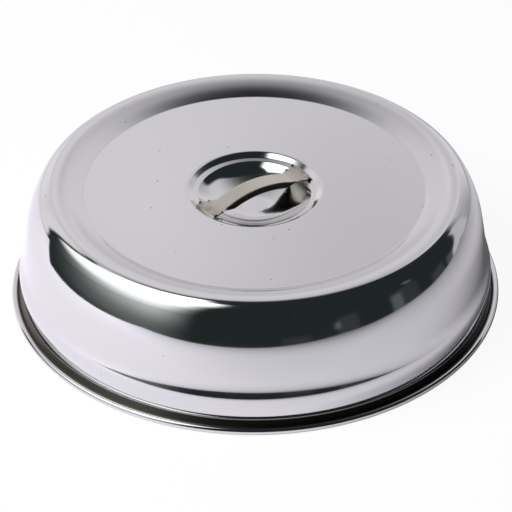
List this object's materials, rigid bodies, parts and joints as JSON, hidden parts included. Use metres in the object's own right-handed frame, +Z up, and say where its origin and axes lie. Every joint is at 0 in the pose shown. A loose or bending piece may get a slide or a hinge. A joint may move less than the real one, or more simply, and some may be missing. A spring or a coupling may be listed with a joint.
{
  "type": "teppanyaki dome",
  "caption": "Low round stainless steel cover for food on a hot plate, with a rolled rim, a waisted wall, a raised ring and a strap handle sunk in a finger recess.",
  "frame": {"origin": "on the axis of the dome, at the level of the surface that the rim rests on", "axes": "+Z up along the axis of the dome, +X along the handle strap"},
  "size_m": [0.28, 0.28, 0.0721],
  "materials": {
    "dome_steel": "mirror polished stainless steel",
    "strap_steel": "satin mill finish stainless steel",
    "weld_steel": "dull weld spots"
  },
  "bodies": {
    "root": {"dome_shell": "dome_steel", "handle_strap": "strap_steel", "spot_welds": "weld_steel"}
  },
  "joints": []
}
